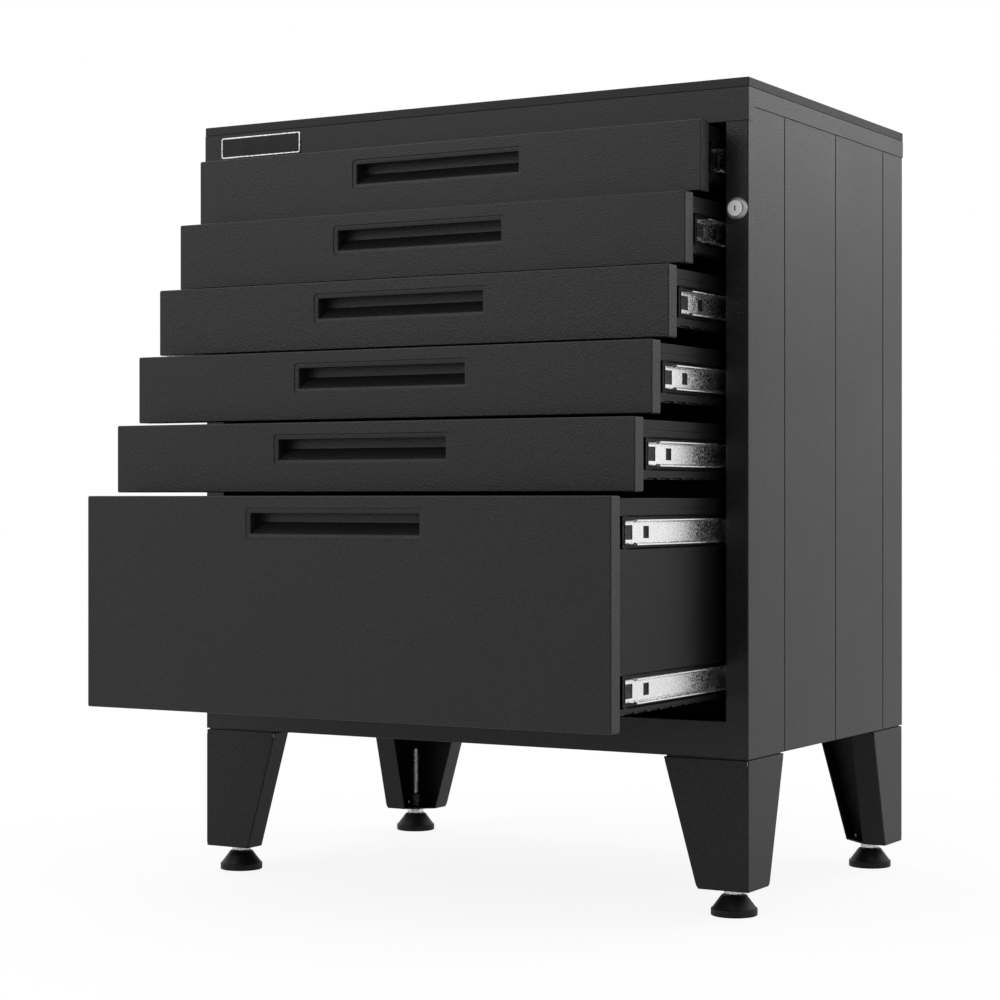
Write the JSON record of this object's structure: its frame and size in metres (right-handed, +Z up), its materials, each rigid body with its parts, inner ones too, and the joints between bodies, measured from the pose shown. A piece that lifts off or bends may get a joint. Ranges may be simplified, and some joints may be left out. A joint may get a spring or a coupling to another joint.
{
  "type": "tool cabinet",
  "caption": "Sheet-metal tool cabinet: a stack of drawers with recessed pulls on ball-bearing slides, a key lock that bars every drawer, and tapered legs with screw-adjusted glides.",
  "frame": {"origin": "On the floor under the middle of the whole outline, with the drawers standing open as stored; the same point is midway between the left and right sides.", "axes": "+X to the cabinet's right seen from its front, +Y from the drawer fronts towards the back, +Z up. The drawers open towards -Y."},
  "size_m": [0.7132, 0.7154, 0.8929],
  "materials": {
    "cabinet": "fine-textured powder coat, satin",
    "cabinet_sides": "fine-textured powder coat, satin",
    "cover": "matt",
    "drawer_fronts": "fine-textured powder coat, satin",
    "drawer_inner": "powder coat, satin",
    "legs": "powder coat, satin",
    "glides": "moulded, matt",
    "studs": "zinc plated",
    "nuts": "moulded, matt",
    "slides": "zinc plated, drawn",
    "ball_cages": "plain steel strip",
    "lock": "polished",
    "lock_bar": "plain steel"
  },
  "bodies": {
    "cabinet": {"side_panel_left": "cabinet_sides", "side_panel_right": "cabinet_sides", "back_panel": "cabinet", "bottom_panel": "cabinet", "top_frame": "cabinet", "top_cover": "cover", "rear_upright_left": "cabinet", "rear_upright_right": "cabinet", "lock_housing": "lock", "foot_nuts": "nuts", "leg_front_left": "legs", "leg_front_right": "legs", "leg_rear_left": "legs", "leg_rear_right": "legs", "slide_1_cabinet_members": "slides", "slide_2_cabinet_members": "slides", "slide_3_cabinet_members": "slides", "slide_4_cabinet_members": "slides", "slide_5_cabinet_members": "slides", "slide_6_cabinet_members": "slides"},
    "drawer_1": {"drawer_1_front": "drawer_fronts", "drawer_1_pull": "drawer_inner", "drawer_1_box": "drawer_inner", "drawer_1_slide_members": "slides"},
    "ball_cages_1": {"drawer_1_ball_cages": "ball_cages"},
    "drawer_2": {"drawer_2_front": "drawer_fronts", "drawer_2_pull": "drawer_inner", "drawer_2_box": "drawer_inner", "drawer_2_slide_members": "slides"},
    "ball_cages_2": {"drawer_2_ball_cages": "ball_cages"},
    "drawer_3": {"drawer_3_front": "drawer_fronts", "drawer_3_pull": "drawer_inner", "drawer_3_box": "drawer_inner", "drawer_3_slide_members": "slides"},
    "ball_cages_3": {"drawer_3_ball_cages": "ball_cages"},
    "drawer_4": {"drawer_4_front": "drawer_fronts", "drawer_4_pull": "drawer_inner", "drawer_4_box": "drawer_inner", "drawer_4_slide_members": "slides"},
    "ball_cages_4": {"drawer_4_ball_cages": "ball_cages"},
    "drawer_5": {"drawer_5_front": "drawer_fronts", "drawer_5_pull": "drawer_inner", "drawer_5_box": "drawer_inner", "drawer_5_slide_members": "slides"},
    "ball_cages_5": {"drawer_5_ball_cages": "ball_cages"},
    "drawer_6": {"drawer_6_front": "drawer_fronts", "drawer_6_pull": "drawer_inner", "drawer_6_box": "drawer_inner", "drawer_6_slide_members": "slides"},
    "ball_cages_6": {"drawer_6_ball_cages": "ball_cages"},
    "foot_front_left": {"foot_pad_front_left": "glides"},
    "stud_front_left": {"foot_stud_front_left": "studs"},
    "foot_front_right": {"foot_pad_front_right": "glides"},
    "stud_front_right": {"foot_stud_front_right": "studs"},
    "foot_rear_left": {"foot_pad_rear_left": "glides"},
    "stud_rear_left": {"foot_stud_rear_left": "studs"},
    "foot_rear_right": {"foot_pad_rear_right": "glides"},
    "stud_rear_right": {"foot_stud_rear_right": "studs"},
    "lock_plug": {"lock_plug": "lock"},
    "lock_bar": {"lock_bar": "lock_bar"}
  },
  "joints": [
    {"name": "drawer_1_slide", "type": "slide", "parent": "cabinet", "child": "drawer_1", "axis": [0, -1, 0], "range_m": [-0.0526, 0.2474]},
    {"name": "ball_cages_1_roll", "type": "slide", "parent": "cabinet", "child": "ball_cages_1", "axis": [0, -1, 0], "range_m": [-0.0263, 0.1237]},
    {"name": "drawer_2_slide", "type": "slide", "parent": "cabinet", "child": "drawer_2", "axis": [0, -1, 0], "range_m": [-0.0909, 0.2091]},
    {"name": "ball_cages_2_roll", "type": "slide", "parent": "cabinet", "child": "ball_cages_2", "axis": [0, -1, 0], "range_m": [-0.04545, 0.10455]},
    {"name": "drawer_3_slide", "type": "slide", "parent": "cabinet", "child": "drawer_3", "axis": [0, -1, 0], "range_m": [-0.1295, 0.1705]},
    {"name": "ball_cages_3_roll", "type": "slide", "parent": "cabinet", "child": "ball_cages_3", "axis": [0, -1, 0], "range_m": [-0.06475, 0.08525]},
    {"name": "drawer_4_slide", "type": "slide", "parent": "cabinet", "child": "drawer_4", "axis": [0, -1, 0], "range_m": [-0.1673, 0.1327]},
    {"name": "ball_cages_4_roll", "type": "slide", "parent": "cabinet", "child": "ball_cages_4", "axis": [0, -1, 0], "range_m": [-0.08365, 0.06635]},
    {"name": "drawer_5_slide", "type": "slide", "parent": "cabinet", "child": "drawer_5", "axis": [0, -1, 0], "range_m": [-0.2057, 0.0943]},
    {"name": "ball_cages_5_roll", "type": "slide", "parent": "cabinet", "child": "ball_cages_5", "axis": [0, -1, 0], "range_m": [-0.10285, 0.04715]},
    {"name": "drawer_6_slide", "type": "slide", "parent": "cabinet", "child": "drawer_6", "axis": [0, -1, 0], "range_m": [-0.2571, 0.0429]},
    {"name": "ball_cages_6_roll", "type": "slide", "parent": "cabinet", "child": "ball_cages_6", "axis": [0, -1, 0], "range_m": [-0.12855, 0.02145]},
    {"name": "foot_front_left_height", "type": "slide", "parent": "cabinet", "child": "foot_front_left", "axis": [0, 0, -1], "range_m": [0, 0.0399]},
    {"name": "foot_front_left_turn", "type": "hinge", "parent": "foot_front_left", "child": "stud_front_left", "pos_m": [-0.3256, -0.07055, 0.022], "axis": [0, 0, -1], "range_deg": [0, 9600]},
    {"name": "foot_front_right_height", "type": "slide", "parent": "cabinet", "child": "foot_front_right", "axis": [0, 0, -1], "range_m": [0, 0.0399]},
    {"name": "foot_front_right_turn", "type": "hinge", "parent": "foot_front_right", "child": "stud_front_right", "pos_m": [0.3256, -0.07055, 0.022], "axis": [0, 0, -1], "range_deg": [0, 9600]},
    {"name": "foot_rear_left_height", "type": "slide", "parent": "cabinet", "child": "foot_rear_left", "axis": [0, 0, -1], "range_m": [0, 0.0399]},
    {"name": "foot_rear_left_turn", "type": "hinge", "parent": "foot_rear_left", "child": "stud_rear_left", "pos_m": [-0.3256, 0.32665, 0.022], "axis": [0, 0, -1], "range_deg": [0, 9600]},
    {"name": "foot_rear_right_height", "type": "slide", "parent": "cabinet", "child": "foot_rear_right", "axis": [0, 0, -1], "range_m": [0, 0.0399]},
    {"name": "foot_rear_right_turn", "type": "hinge", "parent": "foot_rear_right", "child": "stud_rear_right", "pos_m": [0.3256, 0.32665, 0.022], "axis": [0, 0, -1], "range_deg": [0, 9600]},
    {"name": "lock_turn", "type": "hinge", "parent": "cabinet", "child": "lock_plug", "pos_m": [0.3425, -0.10055, 0.754], "axis": [0, 1, 0], "range_deg": [0, 90]},
    {"name": "lock_bar_drop", "type": "slide", "parent": "cabinet", "child": "lock_bar", "axis": [0, 0, -1], "range_m": [0, 0.0099]}
  ],
  "couplings": [
    {"joint": "ball_cages_1_roll", "follows": "drawer_1_slide", "ratio": 0.5},
    {"joint": "ball_cages_2_roll", "follows": "drawer_2_slide", "ratio": 0.5},
    {"joint": "ball_cages_3_roll", "follows": "drawer_3_slide", "ratio": 0.5},
    {"joint": "ball_cages_4_roll", "follows": "drawer_4_slide", "ratio": 0.5},
    {"joint": "ball_cages_5_roll", "follows": "drawer_5_slide", "ratio": 0.5},
    {"joint": "ball_cages_6_roll", "follows": "drawer_6_slide", "ratio": 0.5},
    {"joint": "foot_front_left_turn", "follows": "foot_front_left_height", "rad_per_m": 4188.8},
    {"joint": "foot_front_right_turn", "follows": "foot_front_right_height", "rad_per_m": 4188.8},
    {"joint": "foot_rear_left_turn", "follows": "foot_rear_left_height", "rad_per_m": 4188.8},
    {"joint": "foot_rear_right_turn", "follows": "foot_rear_right_height", "rad_per_m": 4188.8},
    {"joint": "lock_turn", "follows": "lock_bar_drop", "rad_per_m": 158.66}
  ]
}
